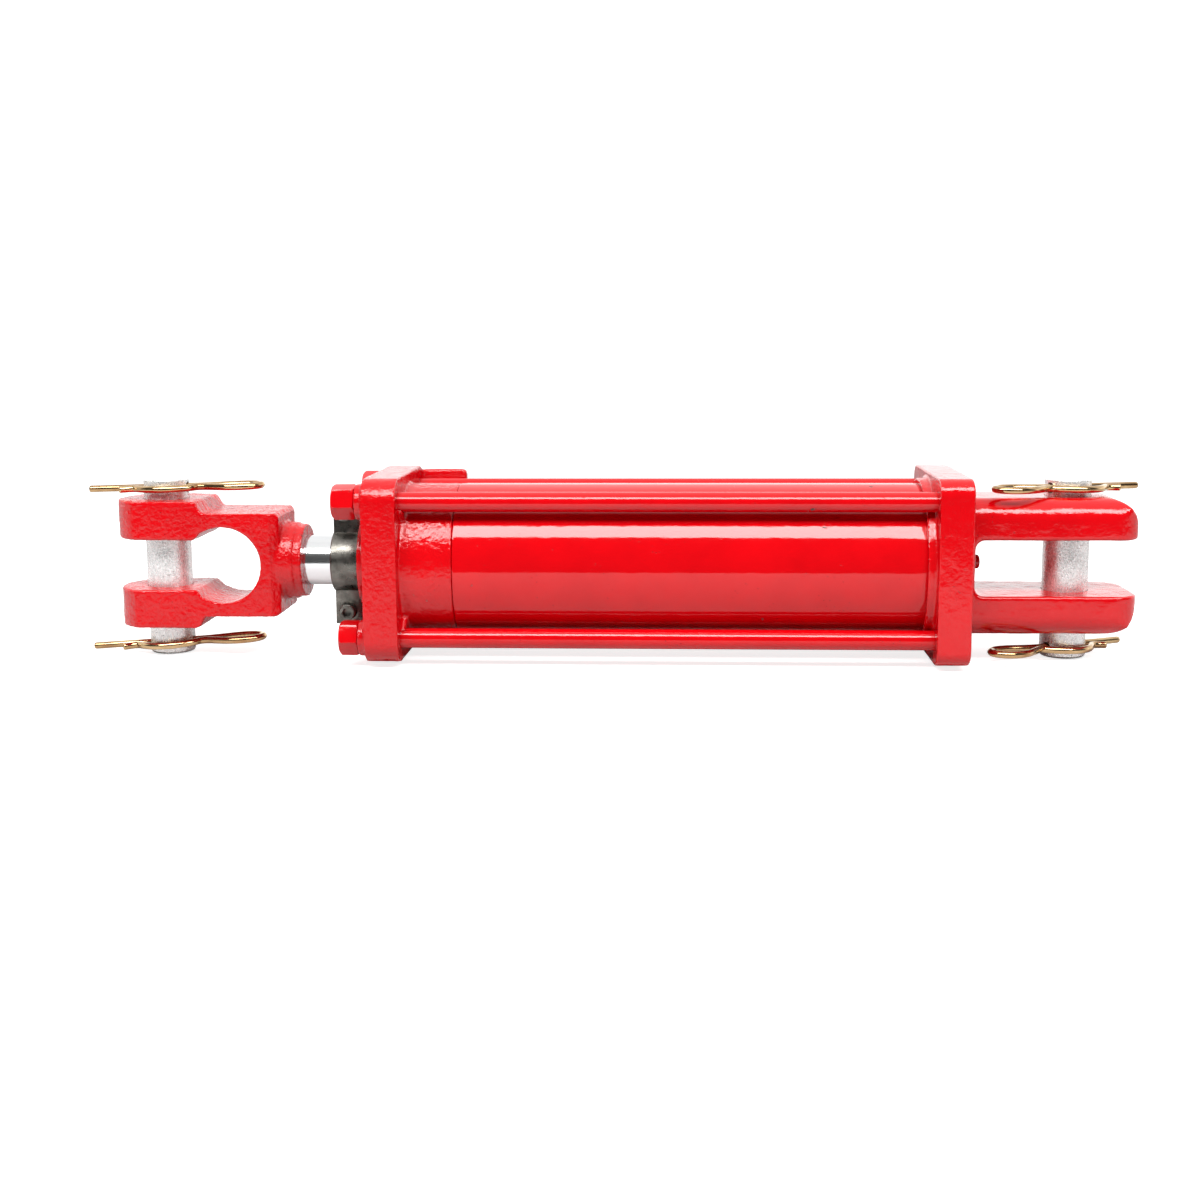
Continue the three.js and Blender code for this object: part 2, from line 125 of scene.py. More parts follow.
def lathe(profile, n=128, name="turned"):
    """Turned round X from [x, r] pairs: closed on itself, or ending on the axis."""
    verts, rows = [], []
    for x, r in profile:
        if r < 1e-6:
            rows.append([len(verts)])
            verts.append((x, 0, 0))
        else:
            rows.append(list(range(len(verts), len(verts) + n)))
            verts += [(x, r * math.cos(2 * pi * k / n), r * math.sin(2 * pi * k / n)) for k in range(n)]
    faces = []
    loop = profile[0][1] > 1e-6 and profile[-1][1] > 1e-6
    for i in range(len(profile) if loop else len(profile) - 1):
        a, b = rows[i], rows[(i + 1) % len(profile)]
        for k in range(n):
            j = (k + 1) % n
            if len(a) == 1:
                faces.append((a[0], b[k], b[j]))
            elif len(b) == 1:
                faces.append((a[k], b[0], a[j]))
            else:
                faces.append((a[k], b[k], b[j], a[j]))
    return obj_of(name, verts, faces)


def bar(x0, x1, r, n=96):
    return lathe([(x0, 0), (x0, r), (x1, r), (x1, 0)], n)


def ring(x0, x1, r0, r1, n=128):
    return lathe([(x0, r0), (x0, r1), (x1, r1), (x1, r0)], n)


def prism(points, axis, a, b, name="prism"):
    """A flat outline raised along an axis: (y, z) for x, (x, z) for y, (x, y) for z."""
    put = {"x": lambda p, t: (t, p[0], p[1]), "y": lambda p, t: (p[0], t, p[1]), "z": lambda p, t: (p[0], p[1], t)}[axis]
    n = len(points)
    verts = [put(p, a) for p in points] + [put(p, b) for p in points]
    faces = [tuple(range(n))[::-1], tuple(range(n, 2 * n))] + [(i, (i + 1) % n, n + (i + 1) % n, n + i) for i in range(n)]
    return obj_of(name, verts, faces)


def arc(cx, cy, r, a0, a1, n):
    return [(cx + r * math.cos(math.radians(a0 + (a1 - a0) * i / n)), cy + r * math.sin(math.radians(a0 + (a1 - a0) * i / n))) for i in range(n + 1)]


def rrect(ha, hb, r, n=10):
    out = []
    for sa, sb, a0 in ((1, 1, 0), (-1, 1, 90), (-1, -1, 180), (1, -1, 270)):
        out += arc(sa * (ha - r), sb * (hb - r), r, a0, a0 + 90, n)
    return out


def shifted(ob, x=0, y=0, z=0):
    ob.data.transform(Matrix.Translation((x, y, z)))
    return ob


def turned(ob, degrees, axis):
    ob.data.transform(Matrix.Rotation(math.radians(degrees), 4, axis))
    return ob


def upright(x, y, z0, z1, r, n=64):
    """Round bar along Z."""
    return shifted(turned(bar(z0, z1, r, n), -90, "Y"), x, y, 0)


def across(x, z, y0, y1, r, n=48):
    """Round bar along Y."""
    return shifted(turned(bar(y0, y1, r, n), 90, "Z"), x, 0, z)


def box(x0, x1, y0, y1, z0, z1):
    return prism([(y0, z0), (y1, z0), (y1, z1), (y0, z1)], "x", x0, x1)


def voxels(ob, size):
    m = ob.modifiers.new("r", "REMESH")
    m.mode = "VOXEL"
    m.voxel_size = size
    m.adaptivity = 0
    return applied(ob)


def relaxed(ob, steps, factor=0.5):
    m = ob.modifiers.new("s", "SMOOTH")
    m.factor = factor
    m.iterations = steps
    return applied(ob)


def bevelled(ob, width, segments=3, angle=30):
    m = ob.modifiers.new("v", "BEVEL")
    m.width = width
    m.segments = segments
    m.limit_method = "ANGLE"
    m.angle_limit = math.radians(angle)
    m.harden_normals = False
    return applied(ob)


def coords(ob):
    co = np.empty(len(ob.data.vertices) * 3)
    ob.data.vertices.foreach_get("co", co)
    return co.reshape(-1, 3)


def set_coords(ob, co):
    ob.data.vertices.foreach_set("co", co.ravel())
    ob.data.update()


def lumpy(ob, layers, where=None):
    """Sand-cast unevenness as real relief: layers of (height, length) in mm, pushed along the normals."""
    co = coords(ob)
    nor = np.empty(len(co) * 3)
    ob.data.vertices.foreach_get("normal", nor)
    nor = nor.reshape(-1, 3)
    d = np.zeros(len(co))
    for k, (height, length) in enumerate(layers):
        d += height * np.array([noise.noise(Vector(p)) for p in co / length + 17.3 * k])
    if where is not None:
        d *= where(co)
    set_coords(ob, co + nor * d[:, None])
    return ob


def clamped(ob):
    """Keeps the relief inside the square of the caps."""
    co = coords(ob)
    co[:, 1:] = np.clip(co[:, 1:], -51.2, 51.2)
    set_coords(ob, co)
    return ob


def shade(ob, angle=35):
    me = ob.data
    me.polygons.foreach_set("use_smooth", [True] * len(me.polygons))
    me.set_sharp_from_angle(angle=math.radians(angle))
    me.update()
    return ob


TO_FRAME = Matrix.Translation((OX, 0, OZ)) @ Matrix.Scale(0.001, 4)


def place(ob, name, node, material, angle=35, extra=()):
    """Moves a finished piece into the frame, and lets it stand for its CAD node."""
    ob.data.transform(TO_FRAME)
    shade(ob, angle)
    ob.name = name
    ob.data.name = name
    ob.data.materials.clear()
    ob.data.materials.append(material)
    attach(ob, BODY[node])
    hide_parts(node, *extra)
    return ob


# ------------------------------------------------------------------ materials


class Nodes:
    """A short way to write a node tree."""

    def __init__(self, name):
        self.mat = bpy.data.materials.new(name)
        self.mat.use_nodes = True
        self.t = self.mat.node_tree
        self.t.nodes.clear()
        self.out = self.t.nodes.new("ShaderNodeOutputMaterial")
        self.bsdf = self.t.nodes.new("ShaderNodeBsdfPrincipled")
        self.t.links.new(self.bsdf.outputs[0], self.out.inputs["Surface"])
        self.coord = self.t.nodes.new("ShaderNodeTexCoord").outputs["Object"]

    def put(self, socket, value):
        if isinstance(value, bpy.types.NodeSocket):
            self.t.links.new(value, socket)
        elif value is not None:
            if hasattr(socket.default_value, "__len__") and len(socket.default_value) == 4 and len(value) == 3:
                value = (*value, 1)
            socket.default_value = value

    def node(self, kind, out=0, props=None, **inputs):
        n = self.t.nodes.new("ShaderNode" + kind)
        for k, v in (props or {}).items():
            setattr(n, k, v)
        for k, v in inputs.items():
            self.put(n.inputs[k.replace("_", " ")], v)
        return n.outputs[out]

    def mapped(self, scale=(1, 1, 1), rotation=(0, 0, 0), location=(0, 0, 0)):
        return self.node("Mapping", Vector=self.coord, Scale=scale, Rotation=rotation, Location=location)

    def noise(self, scale, detail=2, rough=0.5, distort=0, vector=None, out=0):
        return self.node("TexNoise", out, Vector=vector or self.coord, Scale=scale, Detail=detail, Roughness=rough, Distortion=distort)

    def voronoi(self, scale, feature="F1", out=0, vector=None, randomness=1.0):
        return self.node("TexVoronoi", out, {"feature": feature}, Vector=vector or self.coord, Scale=scale, Randomness=randomness)

    def math(self, op, a, b=None, c=None, clamp=False):
        n = self.t.nodes.new("ShaderNodeMath")
        n.operation = op
        n.use_clamp = clamp
        for i, v in enumerate((a, b, c)):
            if v is not None:
                self.put(n.inputs[i], v)
        return n.outputs[0]

    def ramp(self, fac, stops, ease="LINEAR"):
        n = self.t.nodes.new("ShaderNodeValToRGB")
        n.color_ramp.interpolation = ease
        el = n.color_ramp.elements
        while len(el) < len(stops):
            el.new(0.5)
        for e, (p, c) in zip(el, stops):
            e.position = p
            e.color = (c, c, c, 1) if isinstance(c, (int, float)) else (*c, 1)
        self.put(n.inputs[0], fac)
        return n.outputs[0]

    def span(self, value, a, b, c=0.0, d=1.0):
        n = self.t.nodes.new("ShaderNodeMapRange")
        n.clamp = True
        for i, v in enumerate((value, a, b, c, d)):
            self.put(n.inputs[i], v)
        return n.outputs[0]

    def mix(self, fac, a, b, kind="MIX"):
        n = self.t.nodes.new("ShaderNodeMix")
        n.data_type = "RGBA"
        n.blend_type = kind
        self.put(n.inputs[0], fac)
        self.put(n.inputs[6], a)
        self.put(n.inputs[7], b)
        return n.outputs[2]

    def bump(self, height, strength, distance, normal=None):
        n = self.t.nodes.new("ShaderNodeBump")
        self.put(n.inputs["Strength"], strength)
        self.put(n.inputs["Distance"], distance)
        self.put(n.inputs["Height"], height)
        if normal is not None:
            self.put(n.inputs["Normal"], normal)
        return n.outputs[0]

    def set(self, **inputs):
        for k, v in inputs.items():
            self.put(self.bsdf.inputs[k.replace("_", " ")], v)
        return self.mat


RED = (0.52, 0.0005, 0.0030)
RED_DEEP = (0.44, 0.0004, 0.0026)


def red_paint(name, grain, peel, chips, rough=0.09):
    """Gloss enamel. grain is the sand-cast surface under it, peel the paint's own waviness, chips the share knocked off."""
    m = Nodes(name)
    tone = m.noise(22, 4, 0.6)
    colour = m.mix(m.span(tone, 0.35, 0.7), RED_DEEP, RED)
    colour = m.mix(m.span(m.noise(70, 3, 0.55), 0.3, 0.75, 0.0, 0.35), colour, (0.55, 0.0007, 0.0035))
    # chips: rare small cells of bare metal with a primer rim
    place_ = m.noise(24, 3, 0.6, vector=m.mapped(location=(3.1, 7.7, 1.9)))
    cell = m.math("ADD", m.voronoi(150, vector=m.mapped(location=(0.4, 0.2, 0.7))), m.math("MULTIPLY", m.noise(430, 3, 0.7), 0.42))
    gate = m.span(place_, 0.70 - 0.08 * chips, 0.72 - 0.08 * chips)
    chip = m.math("MULTIPLY", m.span(cell, 0.42, 0.39), gate, clamp=True)
    # pinholes in the enamel
    pin = m.math("MULTIPLY", m.span(m.voronoi(420), 0.13, 0.09), m.span(m.noise(60, 2, 0.5, vector=m.mapped(location=(5, 1, 2))), 0.57, 0.62), clamp=True)
    colour = m.mix(pin, colour, (0.10, 0.002, 0.003))
    colour = m.mix(chip, colour, m.mix(m.noise(900, 2), (0.015, 0.012, 0.010), (0.08, 0.06, 0.05)))
    roughness = m.math("ADD", m.span(m.noise(130, 3, 0.6), 0.3, 0.7, rough * 0.7, rough * 1.5), m.math("MULTIPLY", chip, 0.4))
    h = m.math("MULTIPLY", m.noise(1000, 3, 0.6), grain * 0.4)
    h = m.math("ADD", h, m.math("MULTIPLY", m.noise(430, 2, 0.5), grain))
    h = m.math("ADD", h, m.math("MULTIPLY", m.noise(150, 1, 0.4), peel))
    h = m.math("SUBTRACT", h, m.math("MULTIPLY", m.math("ADD", chip, m.math("MULTIPLY", pin, 0.5)), 0.35))
    return m.set(Base_Color=colour, Roughness=roughness, Normal=m.bump(h, 1.0, 0.0004), IOR=1.5, Metallic=0.0)


def metal(name, dark, light, rough, scale=160, bumps=0.3, speck=None, stretch=(1, 1, 1), distance=0.0002):
    """Bare or plated metal: mottled colour and roughness with a fine relief."""
    m = Nodes(name)
    v = m.mapped(scale=stretch)
    mottle = m.noise(scale, 5, 0.62, vector=v)
    colour = m.mix(m.span(mottle, 0.32, 0.68), dark, light)
    if speck:
        dots = m.math("MULTIPLY", m.span(m.voronoi(speck[1], vector=v), 0.26, 0.12), m.span(m.noise(speck[1] * 0.35, 3, 0.6), 0.46, 0.6), clamp=True)
        colour = m.mix(m.math("MULTIPLY", dots, speck[2]), colour, speck[0])
    roughness = m.span(m.noise(scale * 1.7, 4, 0.6, vector=v), 0.3, 0.7, rough * 0.75, rough * 1.3)
    h = m.math("ADD", m.math("MULTIPLY", m.noise(scale * 3.1, 3, 0.6, vector=v), bumps), m.math("MULTIPLY", mottle, bumps * 0.6))
    return m.set(Base_Color=colour, Roughness=roughness, Metallic=1.0, Normal=m.bump(h, 1.0, distance))


def soft(name, dark, light, rough, scale=300):
    """Rubber or polymer seal: slightly uneven, with mould grain."""
    m = Nodes(name)
    colour = m.mix(m.span(m.noise(scale, 4, 0.6), 0.3, 0.7), dark, light)
    roughness = m.span(m.noise(scale * 2, 3, 0.5), 0.3, 0.7, rough * 0.85, rough * 1.15)
    return m.set(Base_Color=colour, Roughness=roughness, Normal=m.bump(m.noise(scale * 4, 2, 0.5), 0.4, 0.0001), Metallic=0.0)


paint_cast = red_paint("red_enamel_rough_casting", 1.1, 0.5, 0.5, 0.13)
paint_smooth_cast = red_paint("red_enamel_casting", 0.34, 0.55, 0.5, 0.10)
paint_head = red_paint("red_enamel_head", 0.75, 0.55, 0.7, 0.11)
paint_tube = red_paint("red_enamel_tube", 0.0, 0.16, 0.75, 0.06)
paint_rod = red_paint("red_enamel_rods", 0.0, 0.10, 0.1, 0.06)
paint_nut = red_paint("red_enamel_nuts", 0.06, 0.35, 0.3, 0.07)
chrome = metal("hard_chrome", (0.80, 0.81, 0.82), (0.86, 0.86, 0.86), 0.125, 90, 0.02, stretch=(0.15, 1, 1), distance=0.00005)
zinc = metal("bright_zinc", (0.74, 0.74, 0.73), (0.99, 0.99, 0.98), 0.24, 420, 0.9, speck=((0.05, 0.045, 0.04), 700, 1.0), distance=0.0002)
zinc.node_tree.nodes["Principled BSDF"].inputs["Metallic"].default_value = 0.72
gold = metal("yellow_zinc", (0.36, 0.19, 0.08), (0.72, 0.52, 0.28), 0.15, 90, 0.1, stretch=(0.4, 1, 1))
black = metal("black_oxide", (0.085, 0.080, 0.070), (0.21, 0.20, 0.18), 0.30, 140, 0.22)
steel = metal("plain_steel", (0.34, 0.35, 0.36), (0.52, 0.53, 0.54), 0.28, 140, 0.15)
iron = metal("machined_iron", (0.16, 0.165, 0.17), (0.3, 0.3, 0.3), 0.38, 220, 0.3)
rubber = soft("nitrile_rubber", (0.012, 0.012, 0.012), (0.03, 0.03, 0.03), 0.55)
polymer = soft("polyurethane", (0.02, 0.11, 0.06), (0.05, 0.2, 0.11), 0.4)

# ------------------------------------------------------------------ barrel, tie rods and nuts
HALF = 51.2
R_TUBE = 44.45
tube = lathe([(-85.8, 38.1), (-85.8, 43.95), (-85.65, 44.3), (-85.3, R_TUBE)] + [(-85 + 262.7 * i / 24, R_TUBE) for i in range(25)] + [(178.1, 44.2), (178.1, 38.1)], 256)
place(tube, "tube", "barrel_tube", paint_tube, 40)

TIE = 38.1
CORNERS = [(-1, 1), (1, 1), (1, -1), (-1, -1)]
for i, (sy, sz) in enumerate(CORNERS):
    r = 5.52
    out = 2.2 if i == 0 else 0.0
    rod = lathe([(-150.1 - out, 0), (-150.1 - out, 4.2), (-149.9 - out, 4.7), (-149.3 - out, r)] + [(-149 + 342 * k / 30, r) for k in range(31)] + [(193.5, r - 0.5), (193.5, 0)], 64)
    shifted(rod, 0, sy * TIE, sz * TIE)
    place(rod, "tie_bar_%d" % (i + 1), "tie_rod_%d" % (i + 1), paint_rod, 30)
    # chamfered hexagon: a hexagonal prism cut by a turned blank
    af = 17.5
    hexa = prism([(af / math.sqrt(3) * math.cos(pi / 3 * k), af / math.sqrt(3) * math.sin(pi / 3 * k)) for k in range(6)], "x", -149.4 - out, -139.0)
    blank = lathe([(-149.5 - out, 0), (-149.5 - out, 8.55), (-147.9 - out, 10.35), (-140.2, 10.35), (-138.9, 9.2), (-138.9, 0)], 96)
    nut = common(hexa, blank)
    cut(nut, bar(-154, -137, 5.8, 64))
    bevelled(nut, 0.55, 3, 20)
    turned(nut, (12, 21, 38, 5)[i], "X")
    shifted(nut, 0, sy * TIE, sz * TIE)
    place(nut, "nut_%d" % (i + 1), "tie_rod_nut_%d" % (i + 1), paint_nut, 40)

# ------------------------------------------------------------------ head casting
VOX = 0.85
head = prism(rrect(HALF, HALF, 13), "x", -134.5, -115.4)
union(
    head,
    bar(-117, -85.9, R_TUBE, 160),
    bar(-142.3, -133, 27.5, 128),
)
# flat pad on the back, round the port
union(head, across(-102, 0, 20, HALF, 13.4, 96), prism([(x - 102.5, z + 9.2) for x, z in rrect(13.9, 39.2, 3)], "y", 44.6, HALF))
for sy, sz in CORNERS:
    union(head, shifted(bar(-138.8, -133, 10.0, 64), 0, sy * TIE, sz * TIE))
    # fillet web between the corner and the skirt, as cast
    web = prism([(0, -6.5), (9.5, -6.5), (9.5, 6.5), (0, 6.5)], "x", -117, -112.6)
    web.data.transform(Matrix.Rotation(math.atan2(sz, sy), 4, "X"))
    union(head, shifted(web, 0, sy * 31.0, sz * 31.0))
voxels(head, VOX)
relaxed(head, 5)
lumpy(head, [(0.14, 10.0), (0.12, 3.0), (0.07, 1.6)], lambda co: np.where(co[:, 0] > -88, 0.4, 1.0))
clamped(head)
for sy, sz in CORNERS:
    cut(head, shifted(bar(-141, -100, 5.75, 48), 0, sy * TIE, sz * TIE))
cut(head, bar(-146, -70, 14.8, 96))
cut(head, bar(-146, -136.6, 19.0, 96))
cut(head, bar(-127.0, -119.0, 19.05, 96))
cut(head, bar(-97.0, -80, 17.0, 96))
cut(head, across(-102, 0, 22.5, 60, 8.0, 64))
pilot = lathe([(-86.4, 17.0), (-86.4, 37.85), (-81.4, 37.85), (-81.4, 34.6), (-76.8, 34.6), (-76.8, 37.85), (-72.2, 37.85), (-71.7, 37.4), (-71.7, 17.0)], 128)
union(head, pilot)
place(head, "head", "head_cap", paint_head, 42)

# ------------------------------------------------------------------ base casting with its clevis
EAR_X1 = PIN_X + 35.4
EO, EI = 38.2, 15.55
base = prism(rrect(HALF, HALF, 9), "x", 178.4, 196.9)
union(base, bar(173.4, 180, 47.4, 160))
side = (
    [(194, -EO)]
    + arc(EAR_X1 - 19, -EO + 19, 19, -90, 0, 20)
    + [(EAR_X1, -EI)]
    + arc(202.0 + 5, -EI + 5, 5, 270, 180, 8)
    + arc(202.0 + 5, EI - 5, 5, 180, 90, 8)
    + [(EAR_X1, EI)]
    + arc(EAR_X1 - 19, EO - 19, 19, 0, 90, 20)
    + [(194, EO)]
)
plan = [(194, -28.0)] + arc(EAR_X1 - 14, -14.0, 14, -90, 0, 20) + arc(EAR_X1 - 14, 14.0, 14, 0, 90, 20) + [(194, 28.0)]
clevis = common(common(prism(side, "y", -33, 33), prism(plan, "z", -40, 40)), prism(rrect(28.0, EO, 12.0, 16), "x", 190, EAR_X1 + 2))
union(base, clevis, across(190.2, 0, 20, HALF, 11.8, 64))
voxels(base, VOX)
relaxed(base, 6)
lumpy(base, [(0.20, 14.0), (0.07, 4.5), (0.03, 2.0)])
for sy, sz in CORNERS:
    cut(base, shifted(bar(168, 194, 5.75, 48), 0, sy * TIE, sz * TIE))
clamped(base)
cut(base, bar(160, 178.2, 44.6, 160))
union(base, lathe([(166.6, 0), (166.6, 37.4), (167.1, 37.85), (178.9, 37.85), (178.9, 0)], 128))
cut(base, ring(169.0, 173.4, 34.6, 38.2), bar(160, 187.6, 22.0, 96), across(190.2, 0, 15, 60, 7.6, 64), bar(186, 203.6, 5.2, 32), upright(PIN_X, 0, -45, 45, 13.05, 96))
place(base, "base", "base_cap", paint_smooth_cast, 42)

plug = lathe([(189.0, 0), (189.0, 5.0), (202.0, 5.0), (202.3, 4.0), (208.0, 4.0), (208.8, 3.2), (209.0, 0)], 48)
place(bevelled(plug, 0.3, 2), "plug", "base_plug", paint_nut, 35)

# ------------------------------------------------------------------ rod clevis casting
IN, OUT, BZ = 14.3, 36.2, 29.5
side = [
    (-286, -OUT), (-236.5, -OUT), (-234.0, -OUT + 0.6), (-231.0, -BZ - 0.6), (-229.0, -BZ), (-189.5, -BZ), (-187.5, -BZ + 2),
    (-187.5, BZ - 2), (-189.5, BZ), (-229.0, BZ), (-231.0, BZ + 0.6), (-234.0, OUT - 0.6), (-236.5, OUT), (-286, OUT),
]
plan = arc(-PIN_X, 0, 26.9, 180 - 60.9, 180 + 60.9, 40) + [(-192.5, -23.5), (-186, -18.5), (-186, 18.5), (-192.5, 23.5)]
rodc = common(prism(side, "y", -30, 30), prism(plan, "z", -40, 40))
union(rodc, bar(-189.5, -180.5, 22.2, 128), bar(-181.5, -175.5, 21.0, 128))
slot_side = [(-290, -IN), (-234.4, -IN), (-232.4, -18.3), (-227, -20.2), (-219.5, -20.4), (-219.5, 20.4), (-227, 20.2), (-232.4, 18.3), (-234.4, IN), (-290, IN)]
cut(rodc, prism(slot_side, "y", -32, 32), across(-219.5, 0, -32, 32, 21.7, 96))
voxels(rodc, 0.75)
relaxed(rodc, 5)
lumpy(rodc, [(0.16, 9.0), (0.16, 2.4), (0.12, 1.3)])
cut(rodc, upright(-PIN_X, 0, -45, 45, 13.05, 96), bar(-206, -160, 12.65, 64), bar(-177.5, -160, 14.5, 64))
place(rodc, "rod_end_clevis", "rod_clevis", paint_cast, 42)

# ------------------------------------------------------------------ rod and collar
rod = lathe(
    [(-196.4, 0), (-196.4, 11.4), (-195.4, 12.45), (-177.3, 12.45), (-177.3, 14.2875), (132.0, 14.2875), (132.0, 9.5), (185.2, 9.5), (186.2, 8.5), (186.2, 0)],
    128,
)
place(rod, "rod", "piston_rod", chrome, 35)

X0, X1 = -159.2, -143.2
XB = (X0 + X1) / 2


def collar_half(sign):
    body = lathe([(X0, 14.6), (X0, 17.6), (X0 + 0.6, 18.2), (X1 - 0.6, 18.2), (X1, 17.6), (X1, 14.6)], 160)
    ear = box(X0 + 0.6, X1 - 0.6, -7.2, 7.2, -36.0, 36.0)
    cut(ear, bar(X0 - 1, X1 + 1, 16.5, 160))
    union(body, ear)
    common(body, box(-170, -140, *((-30, -0.35) if sign < 0 else (0.35, 30)), -40, 40))
    for z in (28.6, -28.6):
        cut(body, across(XB, z, -20, 20, 3.4, 48))
    return bevelled(body, 0.5, 3, 28)


place(collar_half(-1), "collar_front", "collar_half_front", black, 40)
place(collar_half(1), "collar_rear", "collar_half_rear", black, 40)
for tag, z in (("upper", 28.6), ("lower", -28.6)):
    shank = turned(lathe([(-13.2, 0), (-13.2, 4.3), (-12.7, 4.75), (-7.5, 4.75), (-7.5, 3.1), (14.2, 3.1), (14.5, 2.7), (14.5, 0)], 64), 90, "Z")
    socket = prism([(2.75 * math.cos(pi / 3 * k), 2.75 * math.sin(pi / 3 * k)) for k in range(6)], "y", -16, -10.2)
    cut(shank, socket)
    shifted(bevelled(shank, 0.2, 2), XB, 0, z)
    place(shank, "cap_screw_" + tag, "collar_screw_" + tag, black, 35)
    hexa = prism([(6.3 * math.cos(pi / 3 * k), 6.3 * math.sin(pi / 3 * k)) for k in range(6)], "y", 7.5, 12.5)
    cut(hexa, across(0, 0, 6, 14, 3.3, 48))
    shifted(bevelled(hexa, 0.35, 2), XB, 0, z)
    place(hexa, "lock_nut_" + tag, "collar_nut_" + tag, black, 35)

# ------------------------------------------------------------------ pins and hairpin clips
CLIP_Z = 45.3


def centripetal(points, per=10):
    """Smooth line through the points, the same curve that the CAD wire follows."""
    P = [Vector(p) for p in points]
    P = [P[0] * 2 - P[1]] + P + [P[-1] * 2 - P[-2]]
    out = []
    for i in range(1, len(P) - 2):
        p0, p1, p2, p3 = P[i - 1 : i + 3]
        t0 = 0.0
        t1 = t0 + (p1 - p0).length ** 0.5
        t2 = t1 + (p2 - p1).length ** 0.5
        t3 = t2 + (p3 - p2).length ** 0.5
        for k in range(per):
            t = t1 + (t2 - t1) * k / per
            a1 = p0 * ((t1 - t) / (t1 - t0)) + p1 * ((t - t0) / (t1 - t0))
            a2 = p1 * ((t2 - t) / (t2 - t1)) + p2 * ((t - t1) / (t2 - t1))
            a3 = p2 * ((t3 - t) / (t3 - t2)) + p3 * ((t - t2) / (t3 - t2))
            b1 = a1 * ((t2 - t) / (t2 - t0)) + a2 * ((t - t0) / (t2 - t0))
            b2 = a2 * ((t3 - t) / (t3 - t1)) + a3 * ((t - t1) / (t3 - t1))
            out.append(b1 * ((t2 - t) / (t2 - t1)) + b2 * ((t - t1) / (t2 - t1)))
    return out + [P[-2]]


CLIP = [
    (-47.5, 0), (-38, 0), (-26, 0), (-13, 0), (0, 0), (12, 0), (20, -0.2), (28, -1.8), (38, -4.4), (47, -4.0),
    (53.0, 0.6), (54.0, 5.0), (51.2, 9.6), (44.5, 12.2), (36, 11.4), (28, 8.2), (22, 5.6), (17.5, 5.6),
    (14.6, 9.4), (8.6, 13.7), (0, 15.9), (-8.6, 13.9), (-14.6, 10.0), (-18.8, 6.9), (-22.5, 7.2), (-27, 9.8),
]


def wire(points, r, n=20):
    """Round wire along a line, with slightly rounded ends."""
    pts = [Vector(p) for p in points]
    verts, faces = [], []
    t = (pts[1] - pts[0]).normalized()
    side_ = t.orthogonal().normalized()
    rings = []
    for i, p in enumerate(pts):
        t2 = (pts[min(i + 1, len(pts) - 1)] - pts[max(i - 1, 0)]).normalized()
        side_ = (side_ - t2 * side_.dot(t2)).normalized()
        up = t2.cross(side_)
        rings.append((p, side_.copy(), up, t2))
    rows = [(rings[0], -0.0, r * 0.72), (rings[0], 0.25, r * 0.93)] + [(x, 0.0, r) for x in rings[1:-1]] + [(rings[-1], -0.25, r * 0.93), (rings[-1], 0.0, r * 0.72)]
    for (p, s, u, t2), push, rr in rows:
        for k in range(n):
            ang = 2 * pi * k / n
            verts.append(p + t2 * push + s * (rr * math.cos(ang)) + u * (rr * math.sin(ang)))
    m = len(rows)
    for i in range(m - 1):
        for k in range(n):
            faces.append((i * n + k, i * n + (k + 1) % n, (i + 1) * n + (k + 1) % n, (i + 1) * n + k))
    faces.append(tuple(range(n))[::-1])
    faces.append(tuple(range((m - 1) * n, m * n)))
    return obj_of("wire", verts, faces)


def pin_and_clips(label, px, clips):
    L = 50.8
    pin = lathe([(-L, 0), (-L, 11.6), (-L + 0.35, 12.1), (-L + 1.2, 12.7)] + [(-48 + 96 * k / 16, 12.7) for k in range(17)] + [(L - 1.2, 12.7), (L - 0.35, 12.1), (L, 11.6), (L, 0)], 128)
    turned(pin, -90, "Y")
    for side_, z, angle, slide, lean, s in clips:
        hole = shifted(turned(bar(-20, 20, 3.15, 40), angle, "Z"), 0, 0, z)
        cut(pin, hole)
    shifted(pin, px, 0, -PIN_DROP)
    place(pin, label + "_pin", label + "_clevis_pin", zinc, 35)
    for side_, z, angle, slide, lean, s in clips:
        w = wire(centripetal([(u + slide, v, 0) for u, v in CLIP]), 1.98)
        M = (
            Matrix.Translation((px, 0, z - PIN_DROP))
            @ Matrix.Rotation(math.radians(angle), 4, "Z")
            @ Matrix.Rotation(math.radians(-lean), 4, "Y")
            @ Matrix.Diagonal((1, s, 1, 1))
        )
        w.data.transform(M)
        bm = bmesh.new()
        bm.from_mesh(w.data)
        bmesh.ops.recalc_face_normals(bm, faces=bm.faces)
        bm.to_mesh(w.data)
        bm.free()
        place(w, label + "_clip_" + side_, label + "_hairpin_" + side_, gold, 50)


pin_and_clips("rod", -PIN_X, [("upper", CLIP_Z, 0, 2.5, 1.6, -1), ("lower", -CLIP_Z, 0, 0.5, 4.0, -1)])
pin_and_clips("base", PIN_X, [("upper", CLIP_Z, 207, -2, 1.4, 1), ("lower", -CLIP_Z, 213, 2, 2.0, 1)])

# ------------------------------------------------------------------ inner pieces keep their CAD shape
for node, mat in {
    "head_oring": rubber, "base_oring": rubber, "piston_oring": rubber, "rod_wiper": rubber,
    "rod_seal": polymer, "piston_seal_1": polymer, "piston_seal_2": polymer,
    "rod_bearing": iron, "piston_wear_ring": iron, "piston": iron, "piston_nut": steel,
}.items():
    ob = frame["nodes"][node]
    ob.data.materials.clear()
    ob.data.materials.append(mat)

